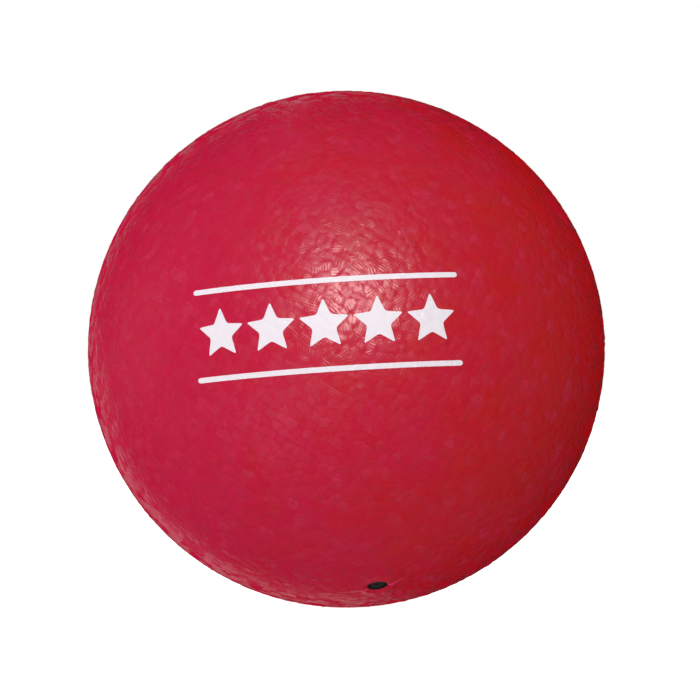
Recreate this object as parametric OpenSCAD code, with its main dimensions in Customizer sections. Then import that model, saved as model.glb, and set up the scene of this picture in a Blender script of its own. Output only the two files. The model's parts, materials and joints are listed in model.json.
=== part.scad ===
// Playground rubber ball: a textured rubber cover over a nylon winding and a butyl bladder,
// filled through a needle valve. The origin is the ball's centre, +Z is up and -Y is the printed
// front. All sizes are in millimetres and all angles in degrees.

/* [Ball] */
// Outside diameter of the inflated ball
ball_d = 254; // [200:1:330]
// Thickness of the moulded rubber cover
cover_wall = 1.2; // [1:0.1:2]
// Thickness of the nylon thread wound under the cover
winding_wall = 0.3; // [0.2:0.1:0.6]
// Thickness of the butyl bladder
bladder_wall = 0.7; // [0.5:0.1:1.2]

/* [Valve] */
// Tilt of the valve from straight down towards the front
valve_tilt = 27.5; // [0:0.5:60]
// Swing of the valve from the middle towards +X
valve_swing = 7.5; // [-30:0.5:30]
// Outside diameter of the housing's neck, which fills the hole in the cover
neck_d = 9.8; // [9:0.1:12]
// Diameter of the valve plug
plug_d = 7.2; // [6:0.1:7.6]
// Length of the valve plug
plug_l = 9.5; // [9:0.5:14]
// Radial running clearance between the plug and its socket
plug_clearance = 0.05; // [0.02:0.01:0.1]
// Diameter of the port that the inflating needle goes into
port_d = 2.1; // [1.8:0.1:2.4]
// Depth of the port, to where the plug's slit is closed
port_depth = 7.5; // [5:0.5:8]
// Depth of the valve's face below the ball's surface
valve_recess = 0.6; // [0.3:0.1:0.7]
// Outside diameter of the raised lip of the cover round the valve
lip_d = 20; // [16:0.5:26]
// Height of that lip above the ball's surface
lip_h = 0.5; // [0.2:0.1:0.8]

/* [Mould] */
// Turn of the cover's parting line about the valve, from straight sideways
parting_turn = 15; // [-45:1:45]

/* [Print] */
// Distance across the points of a star
star_d = 24; // [16:1:25]
// Number of stars in the row
star_count = 5; // [3:1:7]
// Angle round the ball from one star to the next
star_step = 11; // [11:0.5:16]
// Height of a stripe
stripe_h = 2.4; // [1:0.2:5]
// Length of a stripe, measured straight across
stripe_l = 120; // [60:1:150]
// Distance from the middle of the row to the middle of a stripe
stripe_offset = 20; // [18:0.5:28]
// Rise of the row of stars towards +X
print_rise = 4; // [-20:1:20]
// Angle of the print's middle above the ball's middle
print_lift = 5; // [-20:0.5:20]
// Angle of the print's middle round from the front towards +X
print_swing = -4.5; // [-20:0.5:20]

/* [Hidden] */
$fn = 180;

cover_r = ball_d / 2;
winding_r = cover_r - cover_wall;
bladder_r = winding_r - winding_wall;
inside_r = bladder_r - bladder_wall;
room = cover_r + 20;

neck_r = neck_d / 2;
lip_r = lip_d / 2;
lip_crest_r = (neck_r + lip_r) / 2;
// The lip's foot lies inside the cover's wall, below the surface at the lip's rim
lip_foot = sqrt(cover_r * cover_r - lip_r * lip_r) - cover_wall / 3;

patch_wall = 0.8;
patch_r = 17;
patch_in_r = inside_r - patch_wall;
valve_top = cover_r - valve_recess;
flange_r = 11;
flange_wall = 2;
flange_foot = patch_in_r - flange_wall;
plug_r = plug_d / 2;
plug_foot = valve_top - plug_l;
plug_nose_l = 1.5;
plug_nose_r = plug_r - 1;
plug_bevel = 0.25;
funnel_r = port_d / 2 + 0.6;
funnel_l = 0.4;
socket_foot = plug_foot - 0.2;
socket_floor = 2;
// The tapered air hole's radii 1 mm past each side of the socket's floor
air_hole_inner_r = 1.5;
air_hole_outer_r = 1.9;
boss_r = plug_r + 2.9;

ink_wall = 0.1;
star_waist = 0.46;
star_points = 5;
print_back = cover_r / 2;

// A hollow ball between two radii
module shell(outer_r, inner_r) {
    difference() {
        sphere(outer_r);
        sphere(inner_r);
    }
}

// Turns +Z onto the valve's axis, pointing out of the ball, with +Y towards the front
module along_valve() {
    rotate([0, -valve_swing, 0])
        rotate([180 - valve_tilt, 0, 0])
            children();
}

// One side of the cover's parting plane: 1 for the front, -1 for the back
module parting_side(side) {
    along_valve()
        rotate([0, 0, parting_turn])
            translate([0, side * room / 2, 0])
                cube([2 * room, room, 2 * room], center = true);
}

// The round hole that the valve's neck fills, out through every layer
module neck_hole() {
    along_valve()
        translate([0, 0, inside_r - 5])
            cylinder(r = neck_r, h = room - inside_r);
}

// The raised ring that the cover has round the valve
module valve_lip() {
    along_valve()
        rotate_extrude()
            polygon([
                [neck_r - 1, lip_foot],
                [neck_r - 1, cover_r + lip_h],
                [lip_crest_r, cover_r + lip_h],
                [lip_r, lip_foot]
            ]);
}

module cover_half(side) {
    color("crimson")
        intersection() {
            difference() {
                union() {
                    shell(cover_r, winding_r);
                    valve_lip();
                }
                neck_hole();
            }
            parting_side(side);
        }
}

module nylon_winding() {
    color("ivory")
        difference() {
            shell(winding_r, bladder_r);
            neck_hole();
        }
}

// One cup of the bladder, above or below the great circle square to the valve
module bladder_half(side) {
    color("dimgray")
        intersection() {
            difference() {
                shell(bladder_r, inside_r);
                neck_hole();
            }
            along_valve()
                translate([0, 0, side * room / 2])
                    cube([2 * room, 2 * room, room], center = true);
        }
}

module valve_patch() {
    color("darkslategray")
        intersection() {
            difference() {
                shell(inside_r, patch_in_r);
                neck_hole();
            }
            along_valve()
                translate([0, 0, cover_r / 2])
                    cylinder(r = patch_r, h = room);
        }
}

// Neck, flange and boss in one moulding, with the plug's socket and an air hole in its floor
module valve_housing() {
    color([0.1, 0.1, 0.1])
        along_valve()
            difference() {
                union() {
                    translate([0, 0, flange_foot])
                        cylinder(r = neck_r, h = valve_top - flange_foot);
                    intersection() {
                        sphere(patch_in_r);
                        translate([0, 0, flange_foot])
                            cylinder(r = flange_r, h = room);
                    }
                    translate([0, 0, socket_foot - socket_floor])
                        cylinder(r = boss_r, h = flange_foot - socket_foot + socket_floor + 1);
                }
                translate([0, 0, socket_foot])
                    cylinder(r = plug_r + plug_clearance, h = plug_l + 5);
                translate([0, 0, socket_foot - socket_floor - 1])
                    cylinder(r1 = air_hole_outer_r, r2 = air_hole_inner_r, h = socket_floor + 2);
            }
}

// The self-sealing plug: a bevelled face with a funnel, the needle's port and a tapered nose
module valve_plug() {
    color([0.06, 0.06, 0.06])
        along_valve()
            rotate_extrude()
                polygon([
                    [0, plug_foot],
                    [plug_nose_r, plug_foot],
                    [plug_r, plug_foot + plug_nose_l],
                    [plug_r, valve_top - plug_bevel],
                    [plug_r - plug_bevel, valve_top],
                    [funnel_r, valve_top],
                    [port_d / 2, valve_top - funnel_l],
                    [port_d / 2, valve_top - port_depth],
                    [0, valve_top - port_depth]
                ]);
}

// Turns the front of the ball onto the middle of the print
module at_print() {
    rotate([0, 0, print_swing])
        rotate([-print_lift, 0, 0])
            rotate([0, -print_rise, 0])
                children();
}

// A flat outline, seen from the front, laid on the cover as ink
module ink() {
    intersection() {
        shell(cover_r + ink_wall, cover_r);
        rotate([90, 0, 0])
            translate([0, 0, print_back])
                linear_extrude(height = room)
                    children();
    }
}

module star_outline() {
    half_turn = 180 / star_points;
    polygon([
        for (i = [0 : 2 * star_points - 1])
            let (r = star_d / 2 * (i % 2 == 0 ? 1 : star_waist))
                [r * sin(i * half_turn), r * cos(i * half_turn)]
    ]);
}

module stripe_outline(height) {
    translate([0, height]) {
        square([stripe_l - stripe_h, stripe_h], center = true);
        for (side = [-1, 1])
            translate([side * (stripe_l - stripe_h) / 2, 0])
                circle(d = stripe_h);
    }
}

module print_stars() {
    color("white")
        at_print()
            for (i = [0 : star_count - 1])
                rotate([0, 0, (i - (star_count - 1) / 2) * star_step])
                    ink()
                        star_outline();
}

module print_stripe(height) {
    color("white")
        at_print()
            ink()
                stripe_outline(height);
}

cover_half(1);  // cover_front
cover_half(-1);  // cover_back
nylon_winding();
bladder_half(1);  // bladder_valve_half
bladder_half(-1);  // bladder_plain_half
valve_patch();
valve_housing();
valve_plug();
print_stars();
print_stripe(stripe_offset);  // print_stripe_upper
print_stripe(-stripe_offset);  // print_stripe_lower
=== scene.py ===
"""Playground rubber ball: the looks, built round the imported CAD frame. Lengths are in metres, and
the names that end in _MM hold millimetres."""
import json
import math

import bmesh
import bpy
import numpy as np
from mathutils import Matrix, Vector
from mathutils.bvhtree import BVHTree
from mathutils.geometry import delaunay_2d_cdt
from mathutils.kdtree import KDTree


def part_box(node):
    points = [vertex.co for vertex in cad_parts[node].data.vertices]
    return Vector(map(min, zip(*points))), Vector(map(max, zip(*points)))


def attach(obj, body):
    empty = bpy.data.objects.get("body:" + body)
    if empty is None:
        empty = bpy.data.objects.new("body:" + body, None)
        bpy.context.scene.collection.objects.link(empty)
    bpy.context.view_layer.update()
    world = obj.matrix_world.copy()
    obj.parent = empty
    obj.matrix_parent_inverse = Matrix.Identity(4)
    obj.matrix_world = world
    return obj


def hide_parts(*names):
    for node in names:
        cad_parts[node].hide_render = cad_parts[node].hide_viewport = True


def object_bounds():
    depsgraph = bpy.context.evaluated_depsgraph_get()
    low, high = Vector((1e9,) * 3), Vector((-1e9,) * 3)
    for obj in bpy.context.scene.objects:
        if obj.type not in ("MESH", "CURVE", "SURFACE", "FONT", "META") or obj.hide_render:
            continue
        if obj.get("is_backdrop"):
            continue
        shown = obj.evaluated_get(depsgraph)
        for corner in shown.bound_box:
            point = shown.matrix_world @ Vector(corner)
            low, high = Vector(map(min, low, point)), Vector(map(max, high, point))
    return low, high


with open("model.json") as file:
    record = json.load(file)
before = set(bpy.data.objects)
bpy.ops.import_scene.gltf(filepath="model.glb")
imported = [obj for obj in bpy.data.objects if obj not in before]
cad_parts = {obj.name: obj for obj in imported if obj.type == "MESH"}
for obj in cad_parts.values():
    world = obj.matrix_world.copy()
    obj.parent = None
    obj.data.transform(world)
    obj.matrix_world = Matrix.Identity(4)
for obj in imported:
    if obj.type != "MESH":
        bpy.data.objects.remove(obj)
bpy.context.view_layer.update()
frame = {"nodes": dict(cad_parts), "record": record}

MM = 0.001
SEED = 11


# ---------------------------------------------------------------- what the frame says


def unit(v):
    v = np.asarray(v, float)
    return v / np.linalg.norm(v, axis=-1, keepdims=True)


def node_points(name):
    """The corners of a CAD node's mesh, one row each."""
    return np.array([v.co for v in frame["nodes"][name].data.vertices], float)


def about_valve(name):
    """How far each corner of a node is along the valve's axis, and how far out from it."""
    points = node_points(name)
    along = points @ VALVE_AXIS
    return along, np.linalg.norm(points - np.outer(along, VALVE_AXIS), axis=1)


def half_ball_normal(name, radius):
    """The direction that half a ball faces, from its box: the flat side's reach is the radius
    times the sine of the angle between the axis and that direction."""
    low, high = (np.array(corner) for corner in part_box(name))
    short = np.minimum(np.abs(low), np.abs(high)) / radius
    return np.sqrt(np.clip(1 - short**2, 0, 1)) * np.where(high > -low, 1, -1)


port = next(m for m in frame["record"]["mounts"] if m["name"] == "needle_port")
VALVE_AXIS = unit(port["axis"])
PORT_R = port["dims"]["r_mm"] * MM
PORT_TOP = float(np.dot(port["pos_m"], VALVE_AXIS)) + port["dims"]["length_mm"] / 2 * MM
PORT_FOOT = PORT_TOP - port["dims"]["length_mm"] * MM

RADIUS = max(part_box("cover_front")[1].z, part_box("cover_back")[1].z)
INNER_R = float(np.linalg.norm(node_points("nylon_winding"), axis=1).max())

plug_along, plug_out = about_valve("valve_plug")
PLUG_TOP, PLUG_FOOT, PLUG_R = plug_along.max(), plug_along.min(), plug_out.max()
housing_along, housing_out = about_valve("valve_housing")
NECK_R = housing_out[housing_along > PLUG_TOP - 0.1 * MM].max()

# The ball's own directions: out along the valve, along the parting line there, and to the front
seam_rough = half_ball_normal("cover_front", RADIUS)
SEAM_NORMAL = unit(seam_rough - (seam_rough @ VALVE_AXIS) * VALVE_AXIS)
SEAM_ALONG = np.cross(SEAM_NORMAL, VALVE_AXIS)
BALL_AXES = np.array([VALVE_AXIS, SEAM_ALONG, SEAM_NORMAL])


# ---------------------------------------------------------------- the cover's moulded surface

COARSE = 1.0
MESH_STEP = 1.12 * MM * COARSE

PATCH = 5.0 * MM
PATCH_JITTER = 0.34
PATCH_TILT = math.radians(2.2)
PATCH_TILT_MOST = math.radians(6)
PATCH_SIZE_RANGE = 0.35 * MM
PATCH_DOME = 0.06 * MM
GROOVE_DEPTH = 0.06 * MM
GROOVE_WIDTH = 0.6 * MM
RIDGE_PITCH = 1.3 * MM
RIDGE_DEPTH = 0.055 * MM

LIP_HEIGHT = float(np.linalg.norm(node_points("cover_front"), axis=1).max()) - RADIUS
LIP_CREST_R = 7.2 * MM
LIP_R = 10.6 * MM
LIP_ROUND = 0.5 * MM
LIP_INNER_SHARE = 0.25

FLASH_HEIGHT = 0.09 * MM
FLASH_AT_VALVE = 0.5 * MM
FLASH_REACH = 13 * MM
FLASH_WIDTH = 0.5 * MM

# How far the squares stay clear of the lip and of the parting line
LIP_CLEAR = 1.5 * MM
SEAM_CLEAR = 1.4 * MM

# Rings of mesh points round the valve, and rows of them beside the parting line
RING_STEPS = np.array([0, 0.06, 0.2, 0.5, 1.0, 1.6, 2.3, 3.1, 3.9, 4.7, 5.6, 6.5]) * MM
ROW_STEPS = np.array([0.3, 0.65, 1.1, 1.7]) * MM

# Between mesh points on the cover's plain inner face
INSIDE_STEP = 8 * MM
SHARP_ANGLE = math.radians(40)


def even_directions(step, radius):
    """Directions spread evenly over a ball, with about this step between neighbours."""
    count = int(4 * math.pi * radius**2 / step**2 * 2 / math.sqrt(3))
    turn = math.pi * (1 + math.sqrt(5)) * (np.arange(count) + 0.5)
    height = 1 - 2 * (np.arange(count) + 0.5) / count
    across = np.sqrt(1 - height**2)
    return np.stack([across * np.cos(turn), across * np.sin(turn), height], axis=1)


def smooth_step(x, low, high):
    t = np.clip((x - low) / (high - low), 0, 1)
    return t * t * (3 - 2 * t)


class Patches:
    """The square-grained texture: small square patches, each turned and tilted its own way."""

    NEAREST = 6

    def __init__(self):
        rng = np.random.default_rng(SEED)
        centres = even_directions(PATCH, RADIUS) * RADIUS
        centres += rng.normal(0, PATCH_JITTER * PATCH / 2, centres.shape)
        self.centres = unit(centres) * RADIUS
        count = len(centres)
        self.across, self.up = self.frames(rng.uniform(0, math.pi, count))
        most = math.tan(PATCH_TILT_MOST)
        self.tilt = np.clip(rng.laplace(0, math.tan(PATCH_TILT), (count, 2)), -most, most)
        self.size = rng.uniform(-1, 1, count) * PATCH_SIZE_RANGE
        self.tone = rng.uniform(0, 1, count)
        self.gloss = rng.uniform(0, 1, count)
        self.tree = KDTree(count)
        for i, centre in enumerate(self.centres):
            self.tree.insert(centre, i)
        self.tree.balance()

    def frames(self, turn):
        """Two directions along the surface at each centre, turned by its own angle."""
        out = unit(self.centres)
        side = unit(np.cross(out, np.array([0.31, 0.45, 0.84])))
        top = np.cross(out, side)
        c, s = np.cos(turn)[:, None], np.sin(turn)[:, None]
        return c * side + s * top, c * top - s * side

    def at(self, directions):
        """The patch each direction falls in, the height there and how deep in a groove it is."""
        points = directions * RADIUS
        near = np.array([[i for _, i, _ in self.tree.find_n(p, self.NEAREST)] for p in points])
        away = points[:, None, :] - self.centres[near]
        u = np.einsum("pkc,pkc->pk", away, self.across[near])
        v = np.einsum("pkc,pkc->pk", away, self.up[near])
        reach = (u**4 + v**4) ** 0.25 - self.size[near]
        order = np.argsort(reach, axis=1)
        rows = np.arange(len(points))
        first, second = order[:, 0], order[:, 1]
        gap = reach[rows, second] - reach[rows, first]
        groove = np.exp(-((gap / GROOVE_WIDTH) ** 2))
        own = near[rows, first]
        u, v = u[rows, first], v[rows, first]
        tilt = self.tilt[own]
        dome = PATCH_DOME * (1 - (u / PATCH * 2) ** 2)
        height = u * tilt[:, 0] + v * tilt[:, 1] + dome
        return own, height * (1 - groove) - GROOVE_DEPTH * groove, groove


def lip_height(out):
    """The raised, rounded lip round the valve's hole, by distance out from the valve's axis."""
    rise = LIP_INNER_SHARE + (1 - LIP_INNER_SHARE) * smooth_step(out, NECK_R, LIP_CREST_R)
    crest = LIP_HEIGHT * rise * (1 - smooth_step(out, LIP_CREST_R, LIP_R))
    inside = np.clip(LIP_ROUND - (out - NECK_R), 0, LIP_ROUND)
    return crest - (LIP_ROUND - np.sqrt(LIP_ROUND**2 - inside**2))


def flash_height(aside, out):
    """The thin ridge that the mould leaves on the parting line, tallest beside the valve."""
    tall = FLASH_HEIGHT + FLASH_AT_VALVE * np.exp(-((out / FLASH_REACH) ** 4))
    return tall * np.exp(-((aside / FLASH_WIDTH) ** 2))


def cover_surface(patches, local):
    """How far each direction's surface stands above the plain ball, and how grooved it is."""
    _, height, groove = patches.at(local @ BALL_AXES)
    out = RADIUS * np.linalg.norm(local[:, 1:], axis=1)
    out = np.where(local[:, 0] > 0, out, RADIUS)
    aside = RADIUS * np.abs(local[:, 2])
    grain = smooth_step(out, LIP_CREST_R, LIP_R + LIP_CLEAR)
    grain *= smooth_step(aside, 0.4 * MM, SEAM_CLEAR)
    return height * grain + lip_height(out) + flash_height(aside, out), groove * grain


# ---------------------------------------------------------------- meshes


def new_mesh(name, points, faces):
    """A smooth-shaded, closed mesh object from rows of points and faces, facing outwards."""
    mesh = bpy.data.meshes.new(name)
    mesh.from_pydata([tuple(p) for p in points], [], [[int(i) for i in f] for f in faces])
    shape = bmesh.new()
    shape.from_mesh(mesh)
    bmesh.ops.recalc_face_normals(shape, faces=shape.faces)
    shape.to_mesh(mesh)
    shape.free()
    mesh.polygons.foreach_set("use_smooth", [True] * len(mesh.polygons))
    mesh.set_sharp_from_angle(angle=SHARP_ANGLE)
    made = bpy.data.objects.new(name, mesh)
    bpy.context.scene.collection.objects.link(made)
    return made


def set_attribute(obj, name, kind, domain, values):
    """Stores one number, or one vector, for each point or face of a mesh."""
    made = obj.data.attributes.new(name, kind, domain)
    field = "vector" if kind == "FLOAT_VECTOR" else "value"
    made.data.foreach_set(field, np.asarray(values, np.float32).ravel())


def triangulate(flat, loop_length):
    """Triangles that fill the loop made by the first points, through all the other points."""
    loop = list(range(loop_length))
    found = delaunay_2d_cdt([Vector(p) for p in flat], [], [loop], 1, 1e-9)
    origin = [o[0] for o in found[3]]
    return np.array([[origin[i] for i in face] for face in found[2]])


def wall(upper, lower):
    """Triangles between two closed rings of points that match one to one."""
    after_upper, after_lower = np.roll(upper, -1), np.roll(lower, -1)
    first = np.stack([upper, lower, after_upper], axis=1)
    second = np.stack([after_upper, lower, after_lower], axis=1)
    return np.vstack([first, second])


def hole_arc(ring_r, count, side, open_ended):
    """Directions along half a ring round the valve, from one end of its seam to the other."""
    lean = math.asin(ring_r / RADIUS)
    turn = np.linspace(0, math.pi, count + 1)
    turn = turn[1:-1] if open_ended else turn
    across = math.sin(lean)
    ones = np.full_like(turn, math.cos(lean))
    up = side * across * np.sin(turn)
    up[np.abs(up) < 1e-12] = 0
    return np.stack([ones, across * np.cos(turn), up], axis=1)


def seam_run(side_step):
    """Directions round the parting line, from the hole's -along edge the long way to the other."""
    ring_leans = np.arcsin((NECK_R + RING_STEPS[1:]) / RADIUS)
    last = ring_leans[-1]
    count = int((2 * math.pi - 2 * last) * RADIUS / side_step)
    long_way = np.linspace(last, 2 * math.pi - last, count)[1:-1]
    turn = np.concatenate([ring_leans, long_way, 2 * math.pi - ring_leans[::-1]])
    return np.stack([np.cos(turn), -np.sin(turn), np.zeros_like(turn)], axis=1)


def cover_directions(side):
    """Directions for one half's mesh points: its boundary loop first, then all inside it."""
    step = MESH_STEP
    edge = hole_arc(NECK_R, 48, side, open_ended=False)
    loop = np.vstack([edge, seam_run(0.9 * step)])
    inside = []
    for ring in NECK_R + RING_STEPS[1:]:
        count = max(48, int(math.pi * ring / step * 1.2))
        inside.append(hole_arc(ring, count, side, open_ended=True))
    last_ring = (NECK_R + RING_STEPS[-1]) / RADIUS
    for row in ROW_STEPS:
        lean = row / RADIUS
        turn = np.arange(last_ring + row / RADIUS, 2 * math.pi - last_ring, 0.95 * step / RADIUS)
        flat = np.stack([np.cos(turn), np.sin(turn), np.zeros_like(turn)], axis=1)
        inside.append(flat * math.cos(lean) + np.array([0, 0, side * math.sin(lean)]))
    even = even_directions(step, RADIUS)
    clear_of_rows = even[:, 2] * side > (ROW_STEPS[-1] + 0.6 * step) / RADIUS
    out = np.where(even[:, 0] > 0, np.linalg.norm(even[:, 1:], axis=1), 1)
    clear_of_rings = out > last_ring + 0.6 * step / RADIUS
    inside.append(even[clear_of_rows & clear_of_rings])
    return loop, len(edge), np.vstack(inside)


def seen_flat(local, side):
    """One half of the ball laid flat, so that evenly spread points keep their neighbours."""
    return local[:, :2] / (1 + side * local[:, 2:])


def cover_half(name, side, patches):
    """A closed shell: the moulded outer face, a plain inner face and the edges between them."""
    loop, edge_count, inside = cover_directions(side)
    local = np.vstack([loop, inside])
    height, groove = cover_surface(patches, local)
    outer = local * (RADIUS + height)[:, None]
    outer_faces = triangulate(seen_flat(local, side), len(loop))

    coarse = even_directions(INSIDE_STEP, RADIUS)
    far_from_hole = np.linalg.norm(coarse - [1, 0, 0], axis=1) > 2 * NECK_R / RADIUS
    coarse = coarse[(coarse[:, 2] * side > INSIDE_STEP / 2 / RADIUS) & far_from_hole]
    inner = np.vstack([loop, coarse]) * INNER_R
    rim = inner[:edge_count]
    rim[:, 1:] *= NECK_R / np.linalg.norm(rim[:, 1:], axis=1)[:, None]
    rim[:, 0] = math.sqrt(INNER_R**2 - NECK_R**2)
    inner_faces = triangulate(seen_flat(unit(inner), side), len(loop)) + len(outer)
    here = np.arange(len(loop))

    points = np.vstack([outer, inner]) @ BALL_AXES
    faces = np.vstack([outer_faces, inner_faces, wall(here, here + len(outer))])
    made = new_mesh(name, points, faces)
    centres = unit(points[faces].mean(axis=1))
    own, _, _ = patches.at(centres)
    grain = patches.across[own] * 2 * math.pi / RIDGE_PITCH
    set_attribute(made, "grain", "FLOAT_VECTOR", "FACE", grain)
    set_attribute(made, "tone", "FLOAT", "FACE", patches.tone[own])
    set_attribute(made, "gloss", "FLOAT", "FACE", patches.gloss[own])
    set_attribute(made, "groove", "FLOAT", "POINT", np.concatenate([groove, np.zeros(len(inner))]))
    out = RADIUS * np.where(local[:, 0] > 0, np.linalg.norm(local[:, 1:], axis=1), 1)
    # The ridge's height share, also the mask of the painted highlight along it.
    ridge = flash_height(RADIUS * np.abs(local[:, 2]), out) / FLASH_AT_VALVE
    set_attribute(made, "flash", "FLOAT", "POINT", np.concatenate([ridge, np.zeros(len(inner))]))
    near_lip = np.where(local[:, 0] > 0, 1 - smooth_step(out, LIP_CREST_R, LIP_R + LIP_CLEAR), 0)
    near_seam = 1 - smooth_step(RADIUS * np.abs(local[:, 2]), 0.5 * MM, SEAM_CLEAR)
    plain = np.maximum(near_lip, near_seam)
    set_attribute(made, "plain", "FLOAT", "POINT", np.concatenate([plain, np.ones(len(inner))]))
    return made


# ---------------------------------------------------------------- the print

INK_STEP = 0.6 * MM * COARSE
INK_HEIGHT = 0.1 * MM
INK_SINK = 0.06 * MM


def outline_loops(name):
    """The outlines of a CAD print node's outer faces, each a ring of directions."""
    mesh = frame["nodes"][name].data
    points = np.array([v.co for v in mesh.vertices], float)
    _, same = np.unique(np.round(points / (0.002 * MM)).astype(int), axis=0, return_inverse=True)
    same = same.ravel()
    outer = np.linalg.norm(points, axis=1) > RADIUS + 0.5 * INK_HEIGHT
    following = {}
    edges = set()
    for face in mesh.polygons:
        corners = list(face.vertices)
        if outer[corners].all():
            corners = [int(same[c]) for c in corners]
            edges.update(zip(corners, corners[1:] + corners[:1]))
    for a, b in edges:
        if (b, a) not in edges:
            following[a] = b
    place = {int(s): points[i] for i, s in enumerate(same)}
    loops = []
    while following:
        start, here = next(iter(following.items()))
        ring = [start]
        del following[start]
        while here != start:
            ring.append(here)
            here = following.pop(here)
        loops.append(unit(np.array([place[i] for i in ring])))
    return loops


def rounded_outline(ring, step, passes=3):
    """The outline with extra points along it, and its corners a little rounded, as ink's are."""
    fine = []
    for a, b in zip(ring, np.roll(ring, -1, axis=0)):
        count = max(1, int(np.linalg.norm(b - a) / step))
        fine.extend(a + (b - a) * i / count for i in range(count))
    fine = np.array(fine)
    for _ in range(passes):
        fine = (np.roll(fine, 1, axis=0) + 2 * fine + np.roll(fine, -1, axis=0)) / 4
    return fine


def ink_blob(ring, cover_tree):
    """One printed mark: a thin closed skin of ink that follows the cover under it."""
    middle = unit(ring.mean(axis=0))
    side = unit(np.cross(middle, [0, 0, 1]))
    top = np.cross(side, middle)
    step = INK_STEP / RADIUS
    laid_flat = np.stack([ring @ side, ring @ top], 1) / (ring @ middle)[:, None]
    outline = rounded_outline(laid_flat, step)
    low, high = outline.min(axis=0), outline.max(axis=0)
    xs = np.arange(low[0], high[0], step)
    ys = np.arange(low[1], high[1], step * 0.87)
    grid = np.array([(x + (j % 2) * step / 2, y) for j, y in enumerate(ys) for x in xs])
    tree = KDTree(len(outline))
    for i, p in enumerate(outline):
        tree.insert((p[0], p[1], 0), i)
    tree.balance()
    grid = grid[[tree.find((p[0], p[1], 0))[2] > 0.6 * step for p in grid]]
    flat = np.vstack([outline, grid])
    triangles = triangulate(flat, len(outline))
    used, triangles = np.unique(triangles, return_inverse=True)
    triangles = triangles.reshape(-1, 3)
    flat = flat[used]
    directions = unit(middle + flat[:, :1] * side + flat[:, 1:] * top)
    reach = []
    for d in directions:
        hit = cover_tree.ray_cast(Vector(d * RADIUS * 1.05), Vector(-d))
        reach.append(RADIUS * 1.05 - hit[3])
    reach = np.array(reach)[:, None]
    upper = directions * (reach + INK_HEIGHT)
    lower = directions * (reach - INK_SINK)
    here = np.arange(len(outline))
    count = len(directions)
    faces = np.vstack([triangles, triangles + count, wall(here, here + count)])
    return np.vstack([upper, lower]), faces


def ink_piece(name, node, cover_tree):
    points, faces, start = [], [], 0
    for ring in outline_loops(node):
        blob_points, blob_faces = ink_blob(ring, cover_tree)
        points.append(blob_points)
        faces.append(blob_faces + start)
        start += len(blob_points)
    return new_mesh(name, np.vstack(points), np.vstack(faces))


# ---------------------------------------------------------------- turned parts of the valve


def turned(name, profile, segments=96):
    """A part turned about the valve's axis. profile holds (distance out, place along the axis),
    from the axis or round a closed loop."""
    profile = np.array(profile, float)
    side, top = SEAM_ALONG, SEAM_NORMAL
    turn = np.linspace(0, 2 * math.pi, segments, endpoint=False)
    spokes = np.cos(turn)[:, None] * side + np.sin(turn)[:, None] * top
    points, rows = [], []
    for out, along in profile:
        if out < 1e-9:
            rows.append([len(points)] * segments)
            points.append(along * VALVE_AXIS)
        else:
            rows.append(list(range(len(points), len(points) + segments)))
            points.extend(along * VALVE_AXIS + out * spokes)
    closed = profile[0][0] > 1e-9
    faces = []
    for i in range(len(rows) if closed else len(rows) - 1):
        lower, upper = rows[i], rows[(i + 1) % len(rows)]
        for j in range(segments):
            k = (j + 1) % segments
            corners = [lower[j], lower[k], upper[k], upper[j]]
            faces.append(list(dict.fromkeys(corners)))
    return new_mesh(name, points, faces)


def rounded(corner, before, after, radius, count=5):
    """Points that round one corner of a profile, between its neighbours."""
    corner, before, after = (np.array(p, float) for p in (corner, before, after))
    into, away = unit(before - corner), unit(after - corner)
    half = math.acos(np.clip(into @ away, -1, 1)) / 2
    reach = radius / math.tan(half)
    centre = corner + unit(into + away) * radius / math.sin(half)
    start, end = corner + into * reach - centre, corner + away * reach - centre
    sweep = math.acos(np.clip(start @ end / radius**2, -1, 1))
    steps = np.linspace(0, 1, count)
    made = []
    for t in steps:
        arm = start * math.sin((1 - t) * sweep) + end * math.sin(t * sweep)
        made.append(centre + arm / math.sin(sweep))
    return made


def rounded_profile(corners, radii, closed):
    """A profile with each corner rounded by its own radius, or left sharp where that is 0."""
    made = []
    count = len(corners)
    for i, corner in enumerate(corners):
        if radii[i] == 0 or (not closed and i in (0, count - 1)):
            made.append(corner)
        else:
            made.extend(rounded(corner, corners[i - 1], corners[(i + 1) % count], radii[i]))
    return made


FUNNEL_R = PORT_R + 0.6 * MM
FACE_RING_R = 2.6 * MM
FACE_RING_DEPTH = 0.16 * MM
NOSE_STEP = 1.0 * MM
NECK_BEAD = 0.35 * MM
NOSE_LENGTH = 1.5 * MM


def plug_shape():
    """The plug: a tapered nose, a straight body and a face with a ring round the needle's port."""
    ring_in, ring_out = FACE_RING_R - 0.25 * MM, FACE_RING_R + 0.25 * MM
    corners = [
        (0, PLUG_FOOT),
        (PLUG_R - NOSE_STEP, PLUG_FOOT),
        (PLUG_R, PLUG_FOOT + NOSE_LENGTH),
        (PLUG_R, PLUG_TOP),
        (ring_out, PLUG_TOP),
        (ring_out, PLUG_TOP - FACE_RING_DEPTH),
        (ring_in, PLUG_TOP - FACE_RING_DEPTH),
        (ring_in, PLUG_TOP),
        (FUNNEL_R, PLUG_TOP),
        (PORT_R, PORT_TOP),
        (PORT_R, PORT_FOOT),
        (0, PORT_FOOT - 0.4 * MM),
    ]
    radii = np.array([0, 0.4, 0.5, 0.45, 0.06, 0.05, 0.05, 0.06, 0.15, 0.2, 0.2, 0]) * MM
    return turned("valve_plug_face", rounded_profile(corners, radii, closed=False))


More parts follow.
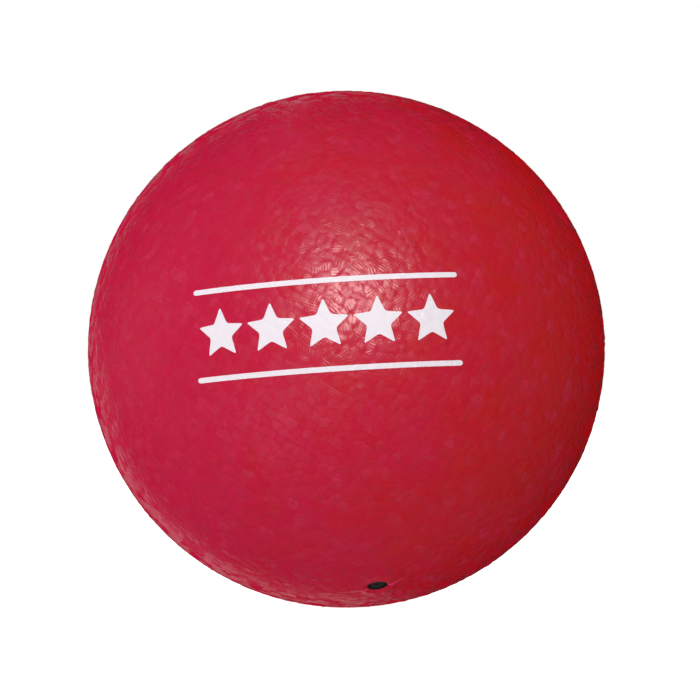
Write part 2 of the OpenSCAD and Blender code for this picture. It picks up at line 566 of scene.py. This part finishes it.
def housing_shape():
    """The housing: the neck that shows in the cover, a flange that follows the ball, and a boss."""
    flange_r = housing_out.max()
    foot = housing_along.min()
    boss_r = housing_out[housing_along < foot + 0.1 * MM].max()
    in_floor = housing_along < PLUG_FOOT - 0.5 * MM
    air_hole_r = housing_out[in_floor & (housing_along > foot + 0.1 * MM)].min()
    air_hole_foot_r = housing_out[housing_along < foot + 0.1 * MM].min()
    socket_r = housing_out[housing_along > PLUG_TOP - 0.1 * MM].min()
    on_flange = housing_out > flange_r - 0.1 * MM
    flange_top, flange_foot = housing_along[on_flange].max(), housing_along[on_flange].min()
    flange_ball = math.hypot(flange_top, flange_r)
    neck_foot = math.sqrt(flange_ball**2 - NECK_R**2)
    in_socket = (housing_out < socket_r + 0.1 * MM) & (housing_along < PLUG_FOOT)
    socket_foot = housing_along[in_socket].max()
    corners = [
        (NECK_R, PLUG_TOP + NECK_BEAD),
        (NECK_R, neck_foot),
        (flange_r, flange_top),
        (flange_r, flange_foot),
        (boss_r, flange_foot),
        (boss_r, foot),
        (air_hole_foot_r, foot),
        (air_hole_r, socket_foot),
        (socket_r, socket_foot),
        (socket_r, PLUG_TOP),
        (NECK_R - 0.7 * MM, PLUG_TOP + NECK_BEAD),
    ]
    radii = np.array([0.3, 0, 0.2, 0.5, 0.8, 0.8, 0.2, 0, 0, 0.2, 0.2]) * MM
    return turned("valve_housing_body", rounded_profile(corners, radii, closed=True))


# ---------------------------------------------------------------- materials


class Recipe:
    """A material, with short calls that add its nodes and join them."""

    def __init__(self, name, color, roughness, **shader):
        self.material = bpy.data.materials.new(name)
        self.material.use_nodes = True
        self.tree = self.material.node_tree
        self.shader = self.tree.nodes["Principled BSDF"]
        self.shader.inputs["Base Color"].default_value = (*color, 1)
        self.shader.inputs["Roughness"].default_value = roughness
        for socket, value in shader.items():
            self.shader.inputs[socket.replace("_", " ")].default_value = value
        self.place = self.add("ShaderNodeTexCoord").outputs["Object"]

    def add(self, kind, **settings):
        made = self.tree.nodes.new(kind)
        for key, value in settings.items():
            setattr(made, key, value)
        return made

    def put(self, value, socket):
        """Joins an output to a socket, or sets a plain number or colour there."""
        if isinstance(value, bpy.types.NodeSocket):
            self.tree.links.new(value, socket)
        else:
            socket.default_value = value

    def math(self, operation, a, b=0.0, clamp=False):
        made = self.add("ShaderNodeMath", operation=operation, use_clamp=clamp)
        self.put(a, made.inputs[0])
        self.put(b, made.inputs[1])
        return made.outputs[0]

    def vector(self, operation, a, b, output="Vector"):
        made = self.add("ShaderNodeVectorMath", operation=operation)
        self.put(a, made.inputs[0])
        self.put(b, made.inputs[1])
        return made.outputs[output]

    def noise(self, size, detail, output="Fac"):
        """Noise with features of about this size."""
        made = self.add("ShaderNodeTexNoise")
        self.put(self.place, made.inputs["Vector"])
        made.inputs["Scale"].default_value = 1 / size
        made.inputs["Detail"].default_value = detail
        return made.outputs[output]

    def stored(self, name, output="Fac"):
        return self.add("ShaderNodeAttribute", attribute_name=name).outputs[output]

    def mix(self, share, a, b):
        """One colour fading to another as the share goes from 0 to 1."""
        made = self.add("ShaderNodeMix", data_type="RGBA")
        colors = [i for i in made.inputs if i.type == "RGBA"]
        self.put(share, made.inputs[0])
        self.put(a, colors[0])
        self.put(b, colors[1])
        return next(o for o in made.outputs if o.type == "RGBA")

    def spread(self, value, low, high):
        """A 0 to 1 value stretched to run from low to high."""
        made = self.add("ShaderNodeMapRange")
        self.put(value, made.inputs["Value"])
        self.put(low, made.inputs["To Min"])
        self.put(high, made.inputs["To Max"])
        return made.outputs["Result"]

    def between(self, value, low, high):
        """0 up to low, 1 from high on, and a straight run from one to the other."""
        made = self.add("ShaderNodeMapRange")
        self.put(value, made.inputs["Value"])
        made.inputs["From Min"].default_value = low
        made.inputs["From Max"].default_value = high
        return made.outputs["Result"]

    def color(self, value):
        self.put(value, self.shader.inputs["Base Color"])

    def rough(self, value):
        self.put(value, self.shader.inputs["Roughness"])

    def relief(self, height, depth, under=None):
        """Bumps of this depth where the height goes from 0 to 1, over any bumps under them."""
        made = self.add("ShaderNodeBump")
        made.inputs["Strength"].default_value = 1.0
        made.inputs["Distance"].default_value = depth
        self.put(height, made.inputs["Height"])
        if under is not None:
            self.put(under, made.inputs["Normal"])
        self.tree.links.new(made.outputs[0], self.shader.inputs["Normal"])
        return made.outputs[0]


RED = (0.53, 0.0065, 0.009, 1)
# Crimson is a painted cool sheen, laid on the ball's left side.
CRIMSON_PAINTED_SHEEN = (0.53, 0.0065, 0.050, 1)
DEEP_RED = (0.44, 0.005, 0.016, 1)
# Pale pink of the painted glints on some patches.
PAINTED_GLINT_PINK = (0.60, 0.024, 0.085, 1)
# Pink of the painted highlight along the parting line's ridge.
PAINTED_RIDGE_HIGHLIGHT = (0.64, 0.06, 0.16, 1)

RIDGE_WANDER = 1.1 * MM
PORE_SIZE = 0.35 * MM
PORE_DEPTH = 0.006 * MM

# The lowest and highest specular level of a patch, seen face-on and seen edge-on
GLOSS_FACE_ON = (0.19, 0.36)
GLOSS_EDGE_ON = (0.0, 0.7)
ROUGHNESS = (0.31, 0.40)
GROOVE_ROUGHNESS = 0.15
SMOOTHER_EDGE_ON = 0.17


def cover_ridges(m, groove, broken):
    """Fine wavering ridges that run one way on each patch and break up in places, over pores."""
    wander = m.vector("SUBTRACT", m.noise(7 * MM, 1, "Color"), (0.5, 0.5, 0.5))
    bent = m.vector("ADD", m.place, m.vector("MULTIPLY", wander, (RIDGE_WANDER,) * 3))
    phase = m.vector("DOT_PRODUCT", bent, m.stored("grain", "Vector"), "Value")
    ridge = m.between(m.math("SINE", phase), -1.0, 1.0)
    unplain = m.math("SUBTRACT", 1.0, m.stored("plain"))
    textured = m.math("MULTIPLY", m.math("SUBTRACT", 1.0, groove), unplain)
    textured = m.math("MULTIPLY", textured, m.spread(broken, 0.3, 1.0))
    deeper = m.spread(m.between(m.stored("gloss"), 0.7, 0.95), 0.8, 1.3)
    textured = m.math("MULTIPLY", textured, deeper)
    pores = m.relief(m.noise(PORE_SIZE, 3), PORE_DEPTH)
    m.relief(m.math("MULTIPLY", ridge, textured), RIDGE_DEPTH, under=pores)


def cover_colour_and_painted_light(m, broken):
    """Crimson on the ball's left running to a plain red on its right, a painted cool sheen from the
    left over noise mottling. Darker by patch at random, with pale pink patches that are painted
    glints and a painted highlight on the parting line's ridge beside the valve.
    """
    # Painted cool sheen: crimson on the ball's left, fading to plain red on its right, broken up by
    # noise mottling.
    across = m.vector("DOT_PRODUCT", m.place, (1 / RADIUS, 0, 0), "Value")
    drift = m.math("ADD", across, m.spread(m.noise(24 * MM, 4), -0.9, 0.9))
    plainer = m.math("MULTIPLY", m.math("ADD", drift, 0.45), 0.8, clamp=True)
    painted_sheen_tint = m.mix(plainer, CRIMSON_PAINTED_SHEEN, RED)
    by_patch = m.spread(m.stored("tone"), 0.0, 0.3)
    worn = m.math("ADD", by_patch, m.spread(m.noise(4 * MM, 3), -0.3, 0.3), clamp=True)
    # Painted glints: pale pink on some patches picked by their tone, more where the ridges break up.
    glint_patches = m.between(m.stored("tone"), 0.78, 0.98)
    pale = m.math("MULTIPLY", glint_patches, m.spread(broken, 0.1, 0.5))
    skin = m.mix(pale, m.mix(worn, painted_sheen_tint, DEEP_RED), PAINTED_GLINT_PINK)
    # Painted highlight: the parting line's ridge turns pink where it stands tallest, beside the
    # valve.
    m.color(m.mix(m.between(m.stored("flash"), 0.3, 1.0), skin, PAINTED_RIDGE_HIGHLIGHT))


def cover_gloss(m, groove):
    """Duller in the grooves, smoother edge-on, and glossier on some patches than on others."""
    edge_on = m.between(m.add("ShaderNodeLayerWeight").outputs["Facing"], 0.4, 0.8)
    sheen = m.math("MULTIPLY", edge_on, SMOOTHER_EDGE_ON)
    uneven = m.spread(m.noise(2.5 * MM, 2), *ROUGHNESS)
    dull = m.math("ADD", m.spread(groove, 0.0, GROOVE_ROUGHNESS), uneven)
    m.rough(m.math("SUBTRACT", dull, sheen))
    face_on_gloss = m.spread(m.between(m.stored("gloss"), 0.2, 0.75), *GLOSS_FACE_ON)
    edge_on_gloss = m.spread(m.between(m.stored("gloss"), 0.4, 0.9), *GLOSS_EDGE_ON)
    gloss = m.spread(edge_on, face_on_gloss, edge_on_gloss)
    shine = m.math("MULTIPLY", gloss, m.spread(groove, 1.0, 0.3))
    m.put(shine, m.shader.inputs["Specular IOR Level"])


def cover_rubber():
    """Red moulded rubber with small square patches, each with its own ridges, tone and gloss."""
    m = Recipe("cover_rubber", RED[:3], 0.3)
    groove = m.stored("groove")
    broken = m.between(m.noise(2.2 * MM, 1), 0.38, 0.6)
    cover_ridges(m, groove, broken)
    cover_colour_and_painted_light(m, broken)
    cover_gloss(m, groove)
    return m.material


def white_ink():
    """Screen-printed ink: off-white, slightly thin in places, faintly grained like the rubber."""
    m = Recipe("white_ink", (0.80, 0.74, 0.80), 0.6, Specular_IOR_Level=0.25)
    thin = m.spread(m.noise(1.4 * MM, 4), 0.0, 0.25)
    m.color(m.mix(thin, (0.83, 0.77, 0.83, 1), (0.78, 0.62, 0.68, 1)))
    m.rough(m.spread(m.noise(2 * MM, 2), 0.52, 0.68))
    m.relief(m.noise(0.5 * MM, 3), 0.015 * MM)
    return m.material


def black_rubber(name, color, roughness, bloom):
    """Black moulded rubber with a dry bloom and fine pores."""
    m = Recipe(name, color, roughness)
    dusty = m.spread(m.noise(1.2 * MM, 4), 0.0, bloom)
    m.color(m.mix(dusty, (*color, 1), (0.16, 0.17, 0.16, 1)))
    m.rough(m.spread(m.noise(0.8 * MM, 3), roughness - 0.08, roughness + 0.1))
    m.relief(m.noise(0.25 * MM, 4), 0.01 * MM)
    return m.material


THREAD_PITCH = 0.9 * MM


def nylon_thread():
    """Thread wound many ways round a ball: bands of turns that cross at several angles."""
    m = Recipe("nylon_thread", (0.74, 0.70, 0.60), 0.55, Sheen_Weight=0.3)
    lies = []
    for i in range(4):
        axis = unit(np.random.default_rng(SEED + i).normal(size=3))
        turns = m.vector("DOT_PRODUCT", m.place, tuple(axis * 2 * math.pi / THREAD_PITCH), "Value")
        lies.append(m.between(m.math("SINE", turns), -1.0, 1.0))
    upper = m.math("GREATER_THAN", m.noise(22 * MM, 2), 0.5)
    other = m.math("GREATER_THAN", m.noise(31 * MM, 2), 0.5)

    def choose(share, a, b):
        rest = m.math("SUBTRACT", 1.0, share)
        return m.math("ADD", m.math("MULTIPLY", share, b), m.math("MULTIPLY", rest, a))

    thread = choose(other, choose(upper, lies[0], lies[1]), choose(upper, lies[2], lies[3]))
    m.color(m.mix(thread, (0.46, 0.40, 0.30, 1), (0.82, 0.78, 0.69, 1)))
    m.rough(m.spread(thread, 0.7, 0.45))
    m.relief(thread, 0.12 * MM)
    return m.material


def paint(obj, material):
    obj.data.materials.clear()
    obj.data.materials.append(material)


# ---------------------------------------------------------------- build

patches = Patches()
cover_front = cover_half("cover_front_moulded", 1, patches)
cover_back = cover_half("cover_back_moulded", -1, patches)
red_rubber = cover_rubber()
for piece, node in ((cover_front, "cover_front"), (cover_back, "cover_back")):
    paint(piece, red_rubber)
    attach(piece, "ball")
    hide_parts(node)

both_covers = bmesh.new()
both_covers.from_mesh(cover_front.data)
both_covers.from_mesh(cover_back.data)
cover_tree = BVHTree.FromBMesh(both_covers)
both_covers.free()
ink = white_ink()
for node in ("print_stars", "print_stripe_upper", "print_stripe_lower"):
    piece = ink_piece(node + "_ink", node, cover_tree)
    paint(piece, ink)
    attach(piece, "ball")
    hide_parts(node)

plug = plug_shape()
paint(plug, black_rubber("plug_rubber", (0.012, 0.014, 0.013), 0.38, 0.15))
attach(plug, "plug")
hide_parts("valve_plug")

housing = housing_shape()
paint(housing, black_rubber("valve_rubber", (0.007, 0.006, 0.006), 0.5, 0.06))
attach(housing, "ball")
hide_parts("valve_housing")

paint(frame["nodes"]["nylon_winding"], nylon_thread())
bladder = black_rubber("bladder_rubber", (0.03, 0.03, 0.032), 0.6, 0.9)
paint(frame["nodes"]["bladder_valve_half"], bladder)
paint(frame["nodes"]["bladder_plain_half"], bladder)
paint(frame["nodes"]["valve_patch"], black_rubber("patch_rubber", (0.045, 0.045, 0.047), 0.65, 0.7))


# ---------------------------------------------------------------- studio

FLOOR_SIZE = 12.0
BALL_ACROSS_FRAME = 0.7381
FRAME_OFFSET = (0.0051, -0.0011)
LENS_MM = 135
SENSOR_MM = 36
SURROUND = 0.585
DARK_SIDE = 0.02
BRIGHT_SIDE = 0.8
UPPER_SET_BACK = 0.13
REFLECTED_TINT = (1.0, 0.42, 0.46, 1)

# The surround's and the lamps' strengths and tints are matched to the photo, not to a known room
FILL_AWAY = 1.6
FILL_SIZE = (0.9, 0.9)
FLASH_LAMP_AWAY = 1.4
FLASH_LAMP_SIZE = (0.42, 0.42)
FLASH_LAMP_COLOR = (1.0, 0.84, 0.82)
TUBE_TOWARD = (-0.24, 0.35, 0.91)
TUBE_ALONG = (0.08, 1, 0)
TUBE_AWAY = 1.3
TUBE_SIZE = (0.04, 1.8)
TUBE_COLOR = (1.0, 0.8, 1.0)


def studio_floor(level):
    """A white floor that gives the camera plain white and leaves the lighting to the surround."""
    half = FLOOR_SIZE / 2
    mesh = bpy.data.meshes.new("floor")
    corners = [(x * half, y * half, level) for x, y in ((-1, -1), (1, -1), (1, 1), (-1, 1))]
    mesh.from_pydata(corners, [], [(0, 1, 2, 3)])
    floor = bpy.data.objects.new("floor", mesh)
    bpy.context.scene.collection.objects.link(floor)
    floor.visible_diffuse = False
    floor.visible_glossy = False
    floor.visible_shadow = False
    floor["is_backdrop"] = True
    m = Recipe("floor_white", (0.9, 0.9, 0.9), 0.9)
    m.shader.inputs["Emission Color"].default_value = (1, 1, 1, 1)
    m.shader.inputs["Emission Strength"].default_value = 1.0
    paint(floor, m.material)


def toward(azimuth, elevation):
    """A direction out from the ball. Azimuth 0 is the camera's side and 90 is +X."""
    a, e = math.radians(azimuth), math.radians(elevation)
    return Vector((math.sin(a) * math.cos(e), -math.cos(a) * math.cos(e), math.sin(e)))


def soft_light(name, away, distance, size, reach, color=(1, 1, 1), length_along=None):
    """A flat lamp that faces the ball's centre. reach is the light it gives there, in W/m2."""
    light = bpy.data.lights.new(name, "AREA")
    light.shape = "RECTANGLE"
    light.size, light.size_y = size
    light.energy = reach * math.pi * distance**2
    light.color = color
    made = bpy.data.objects.new(name, light)
    made.location = away * distance
    up = Vector(length_along or (0, 0, 1))
    side = up.cross(away).normalized()
    turn = Matrix((side, away.cross(side), away)).transposed()
    made.rotation_euler = turn.to_euler()
    bpy.context.scene.collection.objects.link(made)
    return made


def studio_world():
    """A pale surround: white to the camera, even for plain light, and for reflections a pinkish band
    behind the ball on its left, farther back above than below, in a dark room."""
    world = bpy.data.worlds.new("surround")
    world.use_nodes = True
    bpy.context.scene.world = world
    tree = world.node_tree
    nodes, links = tree.nodes, tree.links
    path = nodes.new("ShaderNodeLightPath")
    away = nodes.new("ShaderNodeTexCoord").outputs["Generated"]
    parts = nodes.new("ShaderNodeSeparateXYZ")
    links.new(away, parts.inputs[0])

    def fade(value, low, high):
        made = nodes.new("ShaderNodeMapRange")
        made.interpolation_type = "SMOOTHSTEP"
        links.new(value, made.inputs["Value"])
        made.inputs["From Min"].default_value = low
        made.inputs["From Max"].default_value = high
        return made.outputs["Result"]

    def between(share, low, high):
        made = nodes.new("ShaderNodeMapRange")
        links.new(share, made.inputs["Value"])
        for value, socket in ((low, "To Min"), (high, "To Max")):
            if isinstance(value, bpy.types.NodeSocket):
                links.new(value, made.inputs[socket])
            else:
                made.inputs[socket].default_value = value
        return made.outputs["Result"]

    def combine(operation, a, b):
        made = nodes.new("ShaderNodeMath")
        made.operation = operation
        links.new(a, made.inputs[0])
        links.new(b, made.inputs[1])
        return made.outputs[0]

    leftward = fade(parts.outputs["X"], 0.16, -0.04)
    upward = fade(parts.outputs["Z"], -0.12, 0.12)
    set_back = combine("SUBTRACT", parts.outputs["Y"], between(upward, 0.0, UPPER_SET_BACK))
    band = combine("MULTIPLY", fade(set_back, 0.66, 0.80), fade(parts.outputs["Y"], 0.98, 0.89))
    both = combine("MULTIPLY", leftward, band)
    reflected = between(both, DARK_SIDE, BRIGHT_SIDE)
    lit = between(path.outputs["Is Glossy Ray"], SURROUND, reflected)
    strength = between(path.outputs["Is Camera Ray"], lit, 1.0)
    links.new(strength, nodes["Background"].inputs["Strength"])
    tint = nodes.new("ShaderNodeMix")
    tint.data_type = "RGBA"
    ends = [i for i in tint.inputs if i.type == "RGBA"]
    ends[0].default_value, ends[1].default_value = (1, 1, 1, 1), REFLECTED_TINT
    links.new(path.outputs["Is Glossy Ray"], tint.inputs[0])
    tinted = next(o for o in tint.outputs if o.type == "RGBA")
    links.new(tinted, nodes["Background"].inputs["Color"])


def studio_camera():
    """A long lens, level with the ball's centre, at the distance that gives the ball its share."""
    half_view = BALL_ACROSS_FRAME * SENSOR_MM / 2 / LENS_MM
    distance = RADIUS / math.sin(math.atan(half_view))
    data = bpy.data.cameras.new("camera")
    data.lens = LENS_MM
    data.sensor_width = SENSOR_MM
    data.shift_x, data.shift_y = FRAME_OFFSET
    camera = bpy.data.objects.new("camera", data)
    camera.location = (0, -distance, 0)
    camera.rotation_euler = (math.radians(90), 0, 0)
    bpy.context.scene.collection.objects.link(camera)
    bpy.context.scene.camera = camera


studio_floor(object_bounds()[0].z)
studio_world()
low_fill = soft_light("low_fill", toward(-30, -25), FILL_AWAY, FILL_SIZE, 0.87)
high_fill = soft_light("high_fill", toward(0, 45), FILL_AWAY, FILL_SIZE, 1.22)
side_fill = soft_light("side_fill", toward(-110, 0), FILL_AWAY, FILL_SIZE, 0.79)
flash_lamp = soft_light("flash", toward(2, 22), FLASH_LAMP_AWAY, FLASH_LAMP_SIZE, 4.6,
                        FLASH_LAMP_COLOR)
tube = soft_light("tube", Vector(TUBE_TOWARD).normalized(), TUBE_AWAY, TUBE_SIZE, 0.04,
                  TUBE_COLOR, length_along=TUBE_ALONG)
for lamp in (low_fill, high_fill, side_fill):
    lamp.visible_glossy = False
for lamp in (flash_lamp, tube):
    lamp.visible_diffuse = False
studio_camera()
bpy.context.scene.view_settings.view_transform = "Standard"
